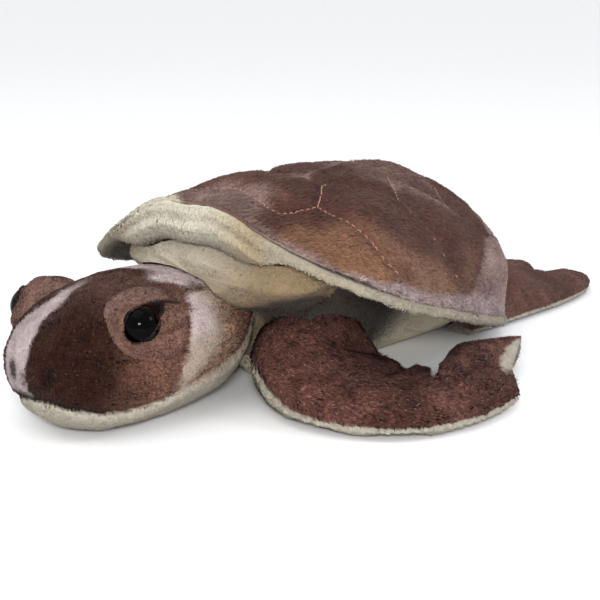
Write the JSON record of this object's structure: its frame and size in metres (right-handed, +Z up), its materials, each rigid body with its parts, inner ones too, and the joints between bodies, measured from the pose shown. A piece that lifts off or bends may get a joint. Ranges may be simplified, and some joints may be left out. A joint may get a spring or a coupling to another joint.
{
  "type": "stuffed toy sea turtle",
  "caption": "Stuffed plush sea turtle lying on its belly, with a domed quilted shell, rolled shell edge, scalloped flippers and domed plastic eyes.",
  "frame": {"origin": "middle of the footprint, on the surface that the toy lies on", "axes": "+Z up, +Y from the head towards the tail, +X towards the turtle's left"},
  "size_m": [0.2182, 0.3634, 0.0913],
  "materials": {
    "brown_plush": "short brown pile, printed with darker and tan markings",
    "dark_plush": "curly dark brown pile",
    "cream_plush": "very short cream pile",
    "eye_plastic": "glossy near-black",
    "stitch_thread": "twisted copper-brown sewing thread"
  },
  "bodies": {
    "root": {"shell": "brown_plush", "shell_lining": "cream_plush", "trunk": "cream_plush", "neck": "cream_plush", "head": "brown_plush", "eyelid_left": "brown_plush", "eyelid_right": "brown_plush", "eye_left": "eye_plastic", "eye_right": "eye_plastic", "fore_flipper_left": "dark_plush", "fore_flipper_right": "dark_plush", "hind_flipper_left": "dark_plush", "hind_flipper_right": "dark_plush", "tail": "brown_plush"}
  },
  "joints": []
}
